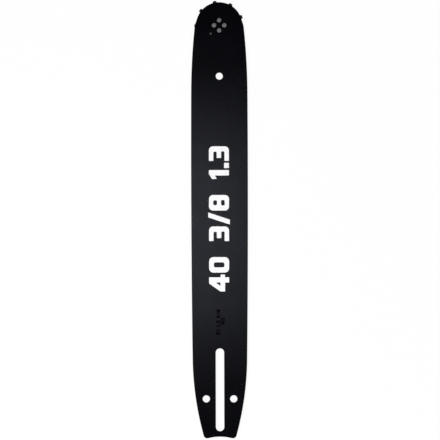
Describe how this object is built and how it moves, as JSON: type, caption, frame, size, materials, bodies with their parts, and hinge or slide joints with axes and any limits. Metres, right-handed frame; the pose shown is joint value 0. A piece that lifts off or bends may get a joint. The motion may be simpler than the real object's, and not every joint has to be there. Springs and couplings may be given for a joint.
{
  "type": "chainsaw guide bar",
  "caption": "Flat steel chainsaw guide bar with black side plates, a grooved rail for the chain, a slotted tail that bolts to the saw and a toothed sprocket that spins in the nose.",
  "frame": {"origin": "middle of the bar stud slot, on the rear face", "axes": "+Y along the bar towards the sprocket nose, +Z out of the front face, +X across the bar; it lies flat on its rear face"},
  "size_m": [0.0584, 0.4506, 0.0043],
  "materials": {
    "black_paint": "satin black paint",
    "core_steel": "dark rolled steel",
    "sprocket_steel": "black oxide",
    "rivet_steel": "set rivet, bare steel",
    "bearing_steel": "ground and greased",
    "rail_steel": "ground rail edge",
    "white_print": "screen print"
  },
  "bodies": {
    "bar": {"side_plate_front": "black_paint", "core_plate": "core_steel", "side_plate_rear": "black_paint", "bearing_hub": "bearing_steel", "nose_rivets": "rivet_steel"},
    "sprocket": {"nose_sprocket": "sprocket_steel"},
    "rollers": {"roller_01": "bearing_steel", "roller_02": "bearing_steel", "roller_03": "bearing_steel", "roller_04": "bearing_steel", "roller_05": "bearing_steel", "roller_06": "bearing_steel", "roller_07": "bearing_steel", "roller_08": "bearing_steel", "roller_09": "bearing_steel", "roller_10": "bearing_steel", "roller_11": "bearing_steel", "roller_12": "bearing_steel", "roller_13": "bearing_steel", "roller_14": "bearing_steel", "roller_15": "bearing_steel", "roller_16": "bearing_steel", "roller_17": "bearing_steel", "roller_18": "bearing_steel", "roller_19": "bearing_steel"}
  },
  "joints": [
    {"name": "nose_sprocket_spin", "type": "hinge", "parent": "bar", "child": "sprocket", "pos_m": [0, 0.37525, 0.00215], "axis": [0, 0, 1], "continuous": true},
    {"name": "roller_ring_orbit", "type": "hinge", "parent": "bar", "child": "rollers", "pos_m": [0, 0.37525, 0.00215], "axis": [0, 0, 1], "continuous": true}
  ],
  "couplings": [
    {"joint": "roller_ring_orbit", "follows": "nose_sprocket_spin", "ratio": 0.57965}
  ]
}
